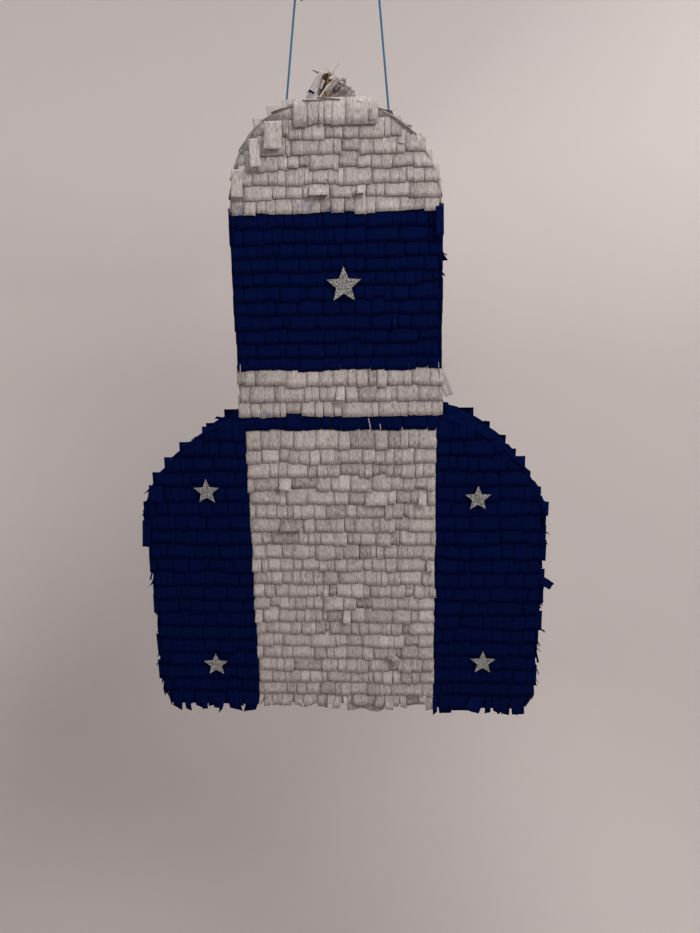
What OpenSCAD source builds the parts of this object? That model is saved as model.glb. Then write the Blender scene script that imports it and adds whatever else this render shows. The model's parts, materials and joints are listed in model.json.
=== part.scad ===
// Hanging paper pinata: a flat cardboard box with the outline of a domed tower on a wide,
// round-shouldered base. Rows of fringed crepe paper cover it all over, five glitter stars are
// glued to its front, and it hangs from two strings knotted inside the dome. It is filled through
// a card flap cut in the top of the dome, which stands open here.
//
// +Z is up, the front faces -Y, and the origin is the point that the pinata hangs from: the height
// of the two string loops, on the middle plane of the box.

/* [Cardboard box] */
// Height of the box, from its base to the top of the dome
box_h = 578; // [520:1:640]
// Depth of the box over its front and back panels
box_d = 92; // [80:1:120]
// Half of the tower's width
tower_half = 91.5; // [85:0.5:100]
// Half of the base's width
base_half = 192.5; // [170:0.5:220]
// Height of the dome over the tower's straight walls
dome_h = 90; // [75:1:110]
// Fullness of the dome's left half, where 2 is an ellipse and more is squarer
dome_left_power = 2.4; // [2:0.1:3]
// Fullness of the dome's right half
dome_right_power = 2; // [2:0.1:3]
// Height of the shoulders above the base
shoulder_top = 302; // [298:1:312]
// Height over which a shoulder rounds off into the side
shoulder_h = 90; // [80:1:120]
// Fullness of the shoulders, where 2 is an ellipse and less is flatter
shoulder_power = 1.56; // [1.3:0.02:2]
// Radius of the two bottom corners
foot_r = 12; // [8:1:25]
// Thickness of the corrugated card
card_t = 3.5; // [2.5:0.5:5]

/* [Crepe fringe] */
// Thickness of a row of crepe at its glued top edge
glued_t = 1; // [0.8:0.1:2]
// Thickness of a row at its loose cut edge
fringe_t = 3; // [2.5:0.1:4]
// Gap between one row and the next
row_gap = 0.4; // [0.3:0.1:1]
// Height of the grey centre panel above the base
centre_h = 293; // [280:1:300]
// Half of the grey centre panel's width
centre_half = 90.5; // [80:0.5:91]
// Height of the navy stripe across the waist
waist_h = 13; // [10:1:15]
// Height of the grey collar above the waist stripe
collar_h = 43; // [40:1:46]
// Rows of fringe on the centre panel
centre_rows = 21; // [14:1:24]
// Rows of fringe on the collar
collar_rows = 3; // [2:1:4]
// Rows of fringe on the navy band of the tower
upper_rows = 11; // [8:1:12]
// Rows of fringe on the dome
dome_rows = 8; // [5:1:9]
// Rows of fringe on each wing of the base
wing_rows = 20; // [14:1:24]

/* [Stars] */
// Radius of the star on the tower
big_star_r = 16.5; // [12:0.5:22]
// Radius of the stars on the wings
small_star_r = 13; // [10:0.5:18]
// Thickness of a star
star_t = 2; // [1:0.5:3]

/* [Strings and knots] */
// Height of the hanging point above the top of the dome
hang_drop = 112.5; // [90:0.5:140]
// Diameter of the string
string_d = 2; // [1.6:0.2:3]
// Where the left string leaves the dome
left_exit_x = -48; // [-55:1:-40]
// Where the right string leaves the dome
right_exit_x = 48; // [40:1:55]
// Middle of the left loop
left_loop_x = -35; // [-45:1:-25]
// Middle of the right loop
right_loop_x = 39; // [30:0.5:45]
// Radius of a loop, to the middle of the string
loop_r = 7.5; // [6:0.5:10]
// Radius of the knots
knot_r = 3; // [2.6:0.2:4]

/* [Fill flap] */
// Where the flap's crease crosses the dome
crease_x = -12; // [-16:1:-8]
// Length of the flap from its crease
flap_len = 28; // [22:1:30]
// Width of the flap, front to back
flap_w = 60; // [40:1:66]
// How far the flap stands open from the closed position, in degrees
flap_open = 72; // [0:1:100]

/* [Tape] */
// Thickness of the masking tape
tape_t = 0.3; // [0.2:0.1:0.4]
// Width of tape on each side of a seam
tape_w = 12; // [8:1:18]

/* [Hidden] */

card_colour = "#a98860";
tape_colour = "#dccfae";
grey_colour = "#a9a29e";
navy_colour = "#0a0f4a";
glitter_colour = "#b9b7ae";
string_colour = "#1c6f9c";

// Heights of the hanging frame
top_z = -hang_drop;
base_z = top_z - box_h;
wall_top = box_h - dome_h;
waist_top = centre_h + waist_h;
collar_top = waist_top + collar_h;

// The crepe is glued on over the tape
glue_t = 0.4;
crepe_y = box_d / 2 + glue_t;
outer_g = -(glue_t + fringe_t);
wall_y = box_d / 2 - card_t;

// A stretch long enough to reach past every side of the box
past = 2 * base_half;

// Stars: place across the front and height above the base, by hand
tower_star_at = [6.5, 426];
upper_left_star_at = [-132.5, 232.5];
upper_right_star_at = [131.5, 225.5];
lower_left_star_at = [-135.5, 43.5];
lower_right_star_at = [141, 50];

// Strings: each runs straight from the knot under its loop to where it leaves the dome
loop_drop = loop_r - string_d / 2;
knot_z = -(loop_drop + loop_r + knot_r);
pivot_z = knot_z - knot_r - 0.4;
pivot_gap = 1.2;
exit_gap = 0.6;
left_exit_z = surface_z(left_exit_x) + fringe_t + glue_t;
right_exit_z = surface_z(right_exit_x) + fringe_t + glue_t;
hole_r = 1.4;
crepe_hole_r = 2.4;
patch_w = 18;
patch_t = 0.6;
ring_step = 3 * string_d;
tube_sides = 8;

// Flap: the hole stands this far off the crease and off the flap's three cut edges, and so does
// the crepe round it
crease_gap = 0.4;
cut_gap = 0.8;
crepe_crease_gap = 7;
crepe_cut_gap = 1.5;
// Crumpled crepe under the flap: from and to along it, width and thickness
crumple_len = [6, 24];
crumple_w = 44;
crumple_h = 8;

// ---- outline of the box ----

// A quarter of a superellipse with half axes a and b, from its side round to its top
function quarter(a, b, power, steps) =
    [for (i = [0:steps]) let (t = 90 * i / steps) [a * pow(cos(t), 2 / power), b * pow(sin(t), 2 / power)]];

function mirrored(points) = [for (i = [len(points) - 1:-1:0]) [-points[i][0], points[i][1]]];

function moved(points, by) = [for (p = points) p + by];

// The bottom right corner, g inside the card: an arc, or a plain corner once the arc has run out
function foot(g) = let (r = max(foot_r - g, 0))
    [for (i = [0:(r > 0 ? 4 : 0)]) let (t = 90 * i / 4)
        [base_half - g - r + r * sin(t), g + r - r * cos(t)]];

// The right half of the outline, from the base up to the dome's top, all of it g inside the card
function half_outline(g, dome_power) = concat(
    foot(g),
    moved([for (p = quarter(base_half - tower_half - g, shoulder_h - g, shoulder_power, 10))
        if (p[0] > 4) p], [tower_half, shoulder_top - shoulder_h]),
    [[tower_half - g, shoulder_top - g]],
    moved([for (p = quarter(tower_half - g, dome_h - g, dome_power, 10)) if (p[0] > 1) p], [0, wall_top])
);

function outline(g) = concat(
    half_outline(g, dome_right_power), [[0, box_h - g]], mirrored(half_outline(g, dome_left_power))
);

// Height of the dome's card surface at x, in the hanging frame
function dome_power_at(x) = x < 0 ? dome_left_power : dome_right_power;
function surface_z(x) = base_z + wall_top
    + dome_h * pow(1 - pow(abs(x) / tower_half, dome_power_at(x)), 1 / dome_power_at(x));

// Children drawn in width and height above the base, made solid from y0 back to y1
module slab(y0, y1) {
    translate([0, y1, base_z]) rotate([90, 0, 0]) linear_extrude(y1 - y0) children();
}

// The ring between two insets of the outline, only from h0 up to h1 and from x0 across to x1
module ring(g0, g1, h0, h1, x0 = -past, x1 = past) {
    intersection() {
        difference() {
            polygon(outline(g0));
            polygon(outline(g1));
        }
        translate([x0, h0]) square([x1 - x0, h1 - h0]);
    }
}

// ---- cardboard ----

module card_wall(h0, h1, x0 = -past, x1 = past) {
    color(card_colour) slab(-wall_y, wall_y) ring(0, card_t, h0, h1, x0, x1);
}

module card_panel(y0) {
    color(card_colour) slab(y0, y0 + card_t) polygon(outline(0));
}

module front_panel() { card_panel(-box_d / 2); }
module back_panel() { card_panel(wall_y); }

module dome_band() {
    difference() {
        card_wall(wall_top, box_h + 1);
        string_holes(hole_r);
        fill_hole(crease_gap, cut_gap);
    }
}

module left_tower_wall() { card_wall(shoulder_top, wall_top, -past, 0); }
module right_tower_wall() { card_wall(shoulder_top, wall_top, 0, past); }
module left_shoulder_band() { card_wall(shoulder_top - shoulder_h, shoulder_top, -past, 0); }
module right_shoulder_band() { card_wall(shoulder_top - shoulder_h, shoulder_top, 0, past); }
module left_side_wall() { card_wall(foot_r, shoulder_top - shoulder_h, -past, 0); }
module right_side_wall() { card_wall(foot_r, shoulder_top - shoulder_h, 0, past); }
module base_wall() { card_wall(0, foot_r); }

// Straight down through the dome where the strings leave it
module string_holes(r) {
    for (x = [left_exit_x, right_exit_x])
        translate([x, 0, surface_z(x) - 12]) cylinder(h = 30, r = r, $fn = 32);
}

// The hole that the flap was cut from, with its clearances at the crease and at the cut edges
module fill_hole(at_crease, at_cuts) {
    translate([crease_x - at_crease, -flap_w / 2 - at_cuts, top_z - 12])
        cube([flap_len + at_crease + at_cuts, flap_w + 2 * at_cuts, 24]);
}

// ---- masking tape ----

// Inside the box, along the corner between the front panel and the walls
module front_seam_tape() {
    color(tape_colour) {
        slab(-wall_y, -wall_y + tape_t) ring(card_t, card_t + tape_w, 0, box_h);
        slab(-wall_y, -wall_y + tape_w) ring(card_t, card_t + tape_t, 0, box_h);
    }
}

// Outside the box, over the corner between the back panel and the walls
module back_seam_tape() {
    color(tape_colour) {
        slab(box_d / 2, box_d / 2 + tape_t) ring(-tape_t, tape_w, -1, box_h + 1);
        slab(box_d / 2 - tape_w, box_d / 2) ring(-tape_t, 0, -1, box_h + 1);
    }
}

// ---- crepe fringe on the front and the back ----

// One strip on the back face, from x0 to x1 and from the height zb up to zt, thickest at its cut edge
module strip(x0, x1, zb, zt) {
    translate([x0, 0, base_z]) rotate([90, 0, 90]) linear_extrude(x1 - x0)
        polygon([[crepe_y, zb + row_gap], [crepe_y + fringe_t, zb + row_gap],
            [crepe_y + glued_t, zt], [crepe_y, zt]]);
}

// Rows of strips that fill the height from h0 to h1
module strips(rows, x0, x1, h0, h1) {
    pitch = (h1 - h0) / rows;
    for (i = [0:rows - 1]) strip(x0, x1, h0 + i * pitch, h0 + (i + 1) * pitch);
}

// Cut to the outline of the box with its edges covered
module trimmed() {
    intersection() {
        children();
        slab(crepe_y - 1, crepe_y + fringe_t + 1) polygon(outline(outer_g));
    }
}

module on_front() { mirror([0, 1, 0]) children(); }

module dome_rows_of_fringe() {
    color(grey_colour) trimmed() strips(dome_rows, -tower_half - 4, tower_half + 4, wall_top, box_h + 4);
}

module tower_rows_of_fringe(colour, rows, h0, h1) {
    color(colour) strips(rows, -tower_half + outer_g, tower_half - outer_g, h0, h1);
}

module centre_rows_of_fringe() {
    color(grey_colour) strips(centre_rows, -centre_half, centre_half, 0, centre_h);
}

module waist_row_of_fringe() {
    color(navy_colour) strips(1, -centre_half, centre_half, centre_h, waist_top);
}

// The right wing, beside the centre panel, with a start farther out for any row above the waist
module wing_rows_of_fringe() {
    pitch = shoulder_top / wing_rows;
    color(navy_colour) trimmed()
        for (i = [0:wing_rows])
            strip((i + 0.5) * pitch > waist_top ? tower_half - outer_g + row_gap : centre_half + row_gap,
                base_half + 5, i * pitch, (i + 1) * pitch);
}

module dome_back_fringe() { dome_rows_of_fringe(); }
module dome_front_fringe() { on_front() dome_rows_of_fringe(); }
module upper_back_fringe() { tower_rows_of_fringe(navy_colour, upper_rows, collar_top, wall_top); }
module upper_front_fringe() { on_front() upper_back_fringe(); }
module collar_back_fringe() { tower_rows_of_fringe(grey_colour, collar_rows, waist_top, collar_top); }
module collar_front_fringe() { on_front() collar_back_fringe(); }
module waist_back_fringe() { waist_row_of_fringe(); }
module waist_front_fringe() { on_front() waist_row_of_fringe(); }
module centre_back_fringe() { centre_rows_of_fringe(); }
module centre_front_fringe() { on_front() centre_rows_of_fringe(); }
module right_wing_back_fringe() { wing_rows_of_fringe(); }
module left_wing_back_fringe() { mirror([1, 0, 0]) wing_rows_of_fringe(); }
module right_wing_front_fringe() { on_front() right_wing_back_fringe(); }
module left_wing_front_fringe() { on_front() left_wing_back_fringe(); }

// ---- crepe fringe round the edges ----

module edge_fringe(colour, h0, h1, x0 = -past, x1 = past) {
    color(colour) slab(-box_d / 2, box_d / 2) ring(outer_g, -glue_t, h0 + row_gap / 2, h1 - row_gap / 2, x0, x1);
}

module dome_edge_fringe() {
    difference() {
        edge_fringe(grey_colour, wall_top, box_h + 5);
        string_holes(crepe_hole_r);
        fill_hole(crepe_crease_gap, crepe_cut_gap);
    }
}

module upper_edge_fringe() { edge_fringe(navy_colour, collar_top, wall_top); }
module collar_edge_fringe() { edge_fringe(grey_colour, shoulder_top - outer_g, collar_top); }

module left_shoulder_edge_fringe() {
    edge_fringe(navy_colour, shoulder_top - shoulder_h, shoulder_top - outer_g, -past, 0);
}
module right_shoulder_edge_fringe() {
    edge_fringe(navy_colour, shoulder_top - shoulder_h, shoulder_top - outer_g, 0, past);
}
module left_side_edge_fringe() { edge_fringe(navy_colour, foot_r, shoulder_top - shoulder_h, -past, 0); }
module right_side_edge_fringe() { edge_fringe(navy_colour, foot_r, shoulder_top - shoulder_h, 0, past); }

// Flat crepe under the base
module base_cover() { edge_fringe(navy_colour, -5, foot_r); }

// ---- stars ----

function star_points(r) =
    [for (i = [0:9]) let (t = 90 + 36 * i, d = i % 2 == 0 ? r : r * 0.44) [d * cos(t), d * sin(t)]];

module star(r, at) {
    color(glitter_colour) translate([at[0], -(crepe_y + fringe_t), base_z + at[1]])
        rotate([90, 0, 0]) linear_extrude(star_t) polygon(star_points(r));
}

module tower_star() { star(big_star_r, tower_star_at); }
module upper_left_star() { star(small_star_r, upper_left_star_at); }
module upper_right_star() { star(small_star_r, upper_right_star_at); }
module lower_left_star() { star(small_star_r, lower_left_star_at); }
module lower_right_star() { star(small_star_r, lower_right_star_at); }

// ---- strings ----

// A square of tape stuck under the dome round a string hole
module string_patch(x) {
    color(tape_colour) difference() {
        slab(-patch_w / 2, patch_w / 2)
            ring(card_t, card_t + patch_t, wall_top, box_h, x - patch_w / 2, x + patch_w / 2);
        string_holes(hole_r);
    }
}

// The knot that stops the string under the patch, its loose end, and the string up through the hole
module inner_knot(x, exit_z) {
    knot_at = surface_z(x) - card_t - patch_t - knot_r - 1.6;
    color(string_colour) {
        translate([x, 0, knot_at]) sphere(r = knot_r, $fn = 32);
        translate([x, 0, knot_at]) cylinder(h = exit_z - exit_gap - knot_at, d = string_d, $fn = 24);
        translate([x, 0, knot_at]) rotate([200, 0, 0]) cylinder(h = 14, d = string_d, $fn = 24);
    }
}

// The loop that slips over a hook, and the knot that closes it
module hanging_loop(x) {
    color(string_colour) {
        translate([x, 0, -loop_drop]) rotate([90, 0, 0])
            rotate_extrude($fn = 48) translate([loop_r, 0]) circle(d = string_d, $fn = 24);
        translate([x, 0, knot_z]) sphere(r = knot_r, $fn = 32);
    }
}

// A round tube from a to b with a ring of points every ring_step
module tube(a, b, r) {
    rings = ceil(norm(b - a) / ring_step);
    along = (b - a) / norm(b - a);
    side = [0, 1, 0];
    up = cross(along, side);
    points = [for (i = [0:rings], k = [0:tube_sides - 1]) let (t = 360 * k / tube_sides)
        a + (b - a) * i / rings + r * (cos(t) * side + sin(t) * up)];
    skin = [for (i = [0:rings - 1], k = [0:tube_sides - 1])
        let (n = (k + 1) % tube_sides, at = i * tube_sides)
            [at + k, at + tube_sides + k, at + tube_sides + n, at + n]];
    ends = [[for (k = [0:tube_sides - 1]) k], [for (k = [tube_sides - 1:-1:0]) rings * tube_sides + k]];
    polyhedron(points, concat(skin, ends));
}

// The string, short of its pivots at both ends so that it can swing there
module free_string(loop_x, exit_x, exit_z) {
    top = [loop_x, 0, pivot_z];
    bottom = [exit_x, 0, exit_z];
    along = (bottom - top) / norm(bottom - top);
    color(string_colour) tube(top + pivot_gap * along, bottom - exit_gap * along, string_d / 2);
}

module left_string_patch() { string_patch(left_exit_x); }
module right_string_patch() { string_patch(right_exit_x); }
module left_inner_knot() { inner_knot(left_exit_x, left_exit_z); }
module right_inner_knot() { inner_knot(right_exit_x, right_exit_z); }
module left_string() { free_string(left_loop_x, left_exit_x, left_exit_z); }
module right_string() { free_string(right_loop_x, right_exit_x, right_exit_z); }
module left_hanging_loop() { hanging_loop(left_loop_x); }
module right_hanging_loop() { hanging_loop(right_loop_x); }

// ---- fill flap ----

// Children drawn with the flap closed, along +X from the crease, and turned up to where it stands
module raised() {
    translate([crease_x, 0, top_z]) rotate([0, -flap_open, 0]) children();
}

module fill_flap() {
    color(card_colour) raised()
        translate([0, -flap_w / 2, -card_t]) cube([flap_len, flap_w, card_t]);
}

module fill_flap_crepe() {
    color(grey_colour) raised()
        translate([crepe_crease_gap, -flap_w / 2, glue_t])
            cube([flap_len - crepe_crease_gap, flap_w, fringe_t]);
}

module fill_flap_crumple() {
    color(grey_colour) raised()
        translate([crumple_len[0], -crumple_w / 2, -card_t - glue_t - crumple_h])
            cube([crumple_len[1] - crumple_len[0], crumple_w, crumple_h]);
}

front_panel();
back_panel();
dome_band();
left_tower_wall();
right_tower_wall();
left_shoulder_band();
right_shoulder_band();
left_side_wall();
right_side_wall();
base_wall();
front_seam_tape();
back_seam_tape();
dome_front_fringe();
upper_front_fringe();
collar_front_fringe();
waist_front_fringe();
centre_front_fringe();
left_wing_front_fringe();
right_wing_front_fringe();
dome_back_fringe();
upper_back_fringe();
collar_back_fringe();
waist_back_fringe();
centre_back_fringe();
left_wing_back_fringe();
right_wing_back_fringe();
dome_edge_fringe();
upper_edge_fringe();
collar_edge_fringe();
left_shoulder_edge_fringe();
right_shoulder_edge_fringe();
left_side_edge_fringe();
right_side_edge_fringe();
base_cover();
tower_star();
upper_left_star();
upper_right_star();
lower_left_star();
lower_right_star();
left_string_patch();
right_string_patch();
left_inner_knot();
right_inner_knot();
left_string();
right_string();
left_hanging_loop();
right_hanging_loop();
fill_flap();
fill_flap_crepe();
fill_flap_crumple();
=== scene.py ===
import json
import math

import bpy
import numpy as np
from mathutils import Matrix, Vector


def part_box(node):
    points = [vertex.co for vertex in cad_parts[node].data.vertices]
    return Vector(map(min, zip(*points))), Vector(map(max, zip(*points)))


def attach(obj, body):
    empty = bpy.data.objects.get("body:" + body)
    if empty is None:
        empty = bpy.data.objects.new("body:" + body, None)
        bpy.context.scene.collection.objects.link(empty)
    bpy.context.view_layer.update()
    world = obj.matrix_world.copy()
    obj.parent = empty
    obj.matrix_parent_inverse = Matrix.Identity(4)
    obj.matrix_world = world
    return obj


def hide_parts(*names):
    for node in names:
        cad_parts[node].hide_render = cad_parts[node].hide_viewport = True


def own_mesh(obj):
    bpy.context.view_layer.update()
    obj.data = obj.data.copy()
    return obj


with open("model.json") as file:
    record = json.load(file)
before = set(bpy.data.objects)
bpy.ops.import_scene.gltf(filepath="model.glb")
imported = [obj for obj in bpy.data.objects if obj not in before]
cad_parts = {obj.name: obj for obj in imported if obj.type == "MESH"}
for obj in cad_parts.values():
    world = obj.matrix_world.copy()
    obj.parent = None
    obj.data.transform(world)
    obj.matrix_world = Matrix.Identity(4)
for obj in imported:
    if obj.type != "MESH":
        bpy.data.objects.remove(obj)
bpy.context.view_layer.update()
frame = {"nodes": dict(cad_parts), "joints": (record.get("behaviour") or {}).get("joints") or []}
scene = bpy.context.scene

# ---- Viewpoint ----
# A hand-held look from just in front of the pinata, a little above its middle and to its right,
# tipped down and turned slightly to the left.
STAND_OFF = 0.650
VIEW_RIGHT = 0.050
VIEW_HEIGHT = -0.2611
TURN = math.radians(-3.62)
DOWN = math.radians(14.773)
LEAN = math.radians(-1.088)
LENS = 27.09

front_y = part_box("centre_front_fringe")[0].y
ahead = Vector((math.sin(TURN) * math.cos(DOWN), math.cos(TURN) * math.cos(DOWN), -math.sin(DOWN)))
level = Vector((math.cos(TURN), -math.sin(TURN), 0))
upright = level.cross(ahead)
across = level * math.cos(LEAN) + upright * math.sin(LEAN)
upward = upright * math.cos(LEAN) - level * math.sin(LEAN)

camera = bpy.data.objects.new("camera", bpy.data.cameras.new("camera"))
scene.collection.objects.link(camera)
camera.data.lens = LENS
camera.data.sensor_width = 36
camera.data.clip_start = 0.02
camera.matrix_world = Matrix.Translation((VIEW_RIGHT, front_y - STAND_OFF, VIEW_HEIGHT)) @ Matrix(
    (across, upward, -ahead)).transposed().to_4x4()
scene.camera = camera
scene.view_settings.view_transform = "Standard"

# ---- Strings ----
# Two lengths of thin blue three-ply cotton string. Each is tied in a small loop at its top, runs
# taut to the dome, and is stopped inside by a knot under a square of tape.
STRING_R = 0.001
PLY_LAY = 0.0055
KNOT_TURNS = 2.3
KNOT_R = 0.0021
KNOT_PITCH = 0.0019
LOOP_R = 0.0075
LEFT_ROUTE = [(-0.035, 0, -0.0204), (-0.048, 0, -0.11763)]
RIGHT_ROUTE = [(0.039, 0, -0.0204), (0.048, 0, -0.12248)]
PLY_SIDES = 24
STRING_STEP = 0.0004


class Wire:
    """A socket in a material. Sums on it add Math nodes, and node() adds any other node."""

    def __init__(self, tree, socket=None):
        self.tree = tree
        self.socket = socket

    def node(self, kind, settings=None, out=0, **sockets):
        """A new node. Its settings come first, then its sockets are set or linked, by name or by
        _number."""
        made = self.tree.nodes.new("ShaderNode" + kind)
        for name, value in (settings or {}).items():
            setattr(made, name, value)
        for name, value in sockets.items():
            socket = made.inputs[int(name[1:])] if name[0] == "_" else made.inputs[name.replace("_", " ")]
            Wire(self.tree, value.socket if isinstance(value, Wire) else value).into(socket)
        return Wire(self.tree, made.outputs[out])

    def into(self, socket):
        """Links this socket, or sets this number or colour, on another socket."""
        if isinstance(self.socket, bpy.types.NodeSocket):
            self.tree.links.new(self.socket, socket)
        elif isinstance(self.socket, tuple) and len(self.socket) == 3 and socket.type == "RGBA":
            socket.default_value = (*self.socket, 1)
        else:
            socket.default_value = self.socket

    def maths(self, operation, *values):
        return self.node("Math", {"operation": operation}, **{f"_{i}": v for i, v in enumerate(values)})

    def __add__(self, other):
        return self.maths("ADD", self, other)

    def __sub__(self, other):
        return self.maths("SUBTRACT", self, other)

    def __rsub__(self, other):
        return self.maths("SUBTRACT", other, self)

    def __mul__(self, other):
        return self.maths("MULTIPLY", self, other)

    def __pow__(self, other):
        return self.maths("POWER", self, other)

    def mix(self, low, high):
        """A colour that goes from low to high as this value goes from 0 to 1."""
        settings = {"data_type": "RGBA", "clamp_factor": True}
        return self.node("Mix", settings, out=2, _0=self, _6=low, _7=high)

    def noise(self, place, scale, detail, **more):
        """Noise at a place, drawn out where its scale is three numbers."""
        if isinstance(scale, tuple):
            place, scale = self.node("Mapping", Vector=place, Scale=scale), 1.0
        return self.node("TexNoise", Vector=place, Scale=scale, Detail=detail, **more)

    def clear(self, low, high):
        """This value, spread so that low becomes 0 and high becomes 1, with soft ends."""
        return self.node("MapRange", {"interpolation_type": "SMOOTHSTEP"},
                         Value=self, From_Min=low, From_Max=high)


def finish(name, **constants):
    """A new material, a Wire to start its nodes from, and its shader with those constants set."""
    made = bpy.data.materials.new(name)
    made.use_nodes = True
    shader = made.node_tree.nodes["Principled BSDF"]
    for socket, value in constants.items():
        shader.inputs[socket.replace("_", " ")].default_value = value
    return made, Wire(made.node_tree), shader


def coat(shader, colour, rough, strength, distance, height, **under):
    """Gives a shader its colour, its roughness and a relief, over the relief under it if there is one."""
    bump = colour.node("Bump", Strength=strength, Distance=distance, Height=height, **under)
    for wire, socket in ((colour, "Base Color"), (rough, "Roughness"), (bump, "Normal")):
        wire.into(shader.inputs[socket])


def string_finish():
    """Blue cotton: painted highlight along the crown of each ply and painted shade between the plies, with a
    fine fuzz.
    """
    made, start, shader = finish("string blue cotton", Sheen_Weight=0.25)
    place = start.node("TexCoord", out=3)
    fuzz = start.noise(place, 2600.0, 3.0)
    patch = start.noise(place, 160.0, 2.0)
    crown = start.node("Attribute", {"attribute_name": "crown"}, out=2)
    # The crown value paints each ply lighter on its crown and darker between plies: painted highlight and
    # painted shade.
    shade = crown * 0.65 + fuzz * 0.35 + (patch - 0.5) * 0.5
    colour = shade.mix((0.003, 0.030, 0.075), (0.016, 0.160, 0.290))
    coat(shader, colour, 0.95 - crown * 0.2, 0.5, 0.0002, fuzz)
    return made


def quads(rows, columns, wrap=False, copies=1):
    """Faces of a grid of points, rows by columns, its last column joined to its first if it wraps. There
    are that many copies of the grid, one after another."""
    r, c = np.meshgrid(np.arange(rows - 1), np.arange(columns if wrap else columns - 1), indexing="ij")
    a = r * columns + c
    b = r * columns + (c + 1) % columns
    one = np.stack([a, b, b + columns, a + columns], -1).reshape(-1, 4)
    return (one[None] + (np.arange(copies) * rows * columns)[:, None, None]).reshape(-1, 4)


def make(name, points, faces, finish, body, replaces=(), smooth=True, values=None, uv=None):
    """A mesh piece from an array of points and a list of arrays of faces, with its finish, the body that
    it rides on and the CAD nodes that it stands for. values are named numbers at the points,
    and uv is two numbers for each."""
    mesh = bpy.data.meshes.new(name)
    mesh.from_pydata(points.reshape(-1, 3).tolist(), [],
                     [face for part in faces for face in np.asarray(part).tolist()])
    for label, numbers in (values or {}).items():
        attribute = mesh.attributes.new(label, "FLOAT", "POINT")
        attribute.data.foreach_set("value", np.asarray(numbers, np.float32).ravel())
    if uv is not None:
        corner = np.zeros(len(mesh.loops), np.int32)
        mesh.loops.foreach_get("vertex_index", corner)
        layer = mesh.uv_layers.new(name="flat")
        layer.data.foreach_set("uv", uv.reshape(-1, 2)[corner].astype(np.float32).ravel())
    mesh.polygons.foreach_set("use_smooth", np.full(len(mesh.polygons), smooth))
    mesh.materials.append(finish)
    piece = bpy.data.objects.new(name, mesh)
    scene.collection.objects.link(piece)
    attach(piece, body)
    if replaces:
        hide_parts(*replaces)
    return piece


def lengths_along(path):
    """How far along a path each of its points is."""
    return np.concatenate([[0], np.cumsum(np.linalg.norm(np.diff(path, axis=0), axis=1))])


def plied(path, away):
    """Points, faces and crown values of a three-ply string along a path, in rings that face along it. At
    turn t of a ring at length s, the radius is that of three round plies side by side, turned by s /
    PLY_LAY. Both ends are rounded: there the rings shrink as a circle does. away is a direction, or one
    for each point, that isn't along the path."""
    path = np.asarray(path, float)
    along = np.gradient(path, axis=0)
    along /= np.linalg.norm(along, axis=1)[:, None]
    side = np.broadcast_to(np.asarray(away, float), path.shape)
    side = side - (side * along).sum(1)[:, None] * along
    side /= np.linalg.norm(side, axis=1)[:, None]
    other = np.cross(along, side)
    s = lengths_along(path)
    t = np.linspace(0, 2 * math.pi, PLY_SIDES, endpoint=False)
    lobe = np.abs(np.cos(1.5 * (t[None] - 2 * math.pi * s[:, None] / PLY_LAY)))
    to_end = np.clip(np.minimum(s, s[-1] - s) / STRING_R, 0.02, 1)
    r = STRING_R * (0.80 + 0.22 * lobe) * np.sqrt(1 - (1 - to_end[:, None]) ** 2)
    around = np.cos(t)[None, :, None] * side[:, None] + np.sin(t)[None, :, None] * other[:, None]
    points = path[:, None] + r[..., None] * around
    ends = [np.arange(PLY_SIDES)[::-1], (len(path) - 1) * PLY_SIDES + np.arange(PLY_SIDES)]
    skin = quads(len(path), PLY_SIDES, wrap=True)
    return points.reshape(-1, 3), [skin, ends], lobe.ravel()


def joined(parts):
    """Several (points, faces, values) as one."""
    points, faces, crowns, first = [], [], [], 0
    for p, f, c in parts:
        points.append(p)
        faces += [np.asarray(x) + first for x in f]
        crowns.append(c)
        first += len(p)
    return np.concatenate(points), faces, np.concatenate(crowns)


def stretch(start, end, bow=0.0):
    """Points along a straight run, closer at its ends. Where bow isn't 0, a half sine bows it sideways
    in Y."""
    start, end = np.array(start, float), np.array(end, float)
    count = max(6, int(np.linalg.norm(end - start) / STRING_STEP))
    t = np.linspace(0, 1, count)
    near = 0.001 * np.sin(np.linspace(0, math.pi / 2, 5)) / np.linalg.norm(end - start)
    t = np.unique(np.concatenate([t, near, 1 - near]).round(6))
    run = start + (end - start) * t[:, None]
    run[:, 1] += bow * np.sin(math.pi * t)
    return run


def wraps(x, low):
    """A knot's turns round its strands: a helix about a vertical line, with its radial direction as
    away."""
    t = np.linspace(0, KNOT_TURNS * 2 * math.pi, int(KNOT_TURNS * 36))
    out = np.stack([np.cos(t), np.sin(t), 0 * t], 1)
    climb = np.array([0, 0, KNOT_PITCH / (2 * math.pi)]) * t[:, None]
    return np.array([x, 0, low]) + KNOT_R * out + climb, out


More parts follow.
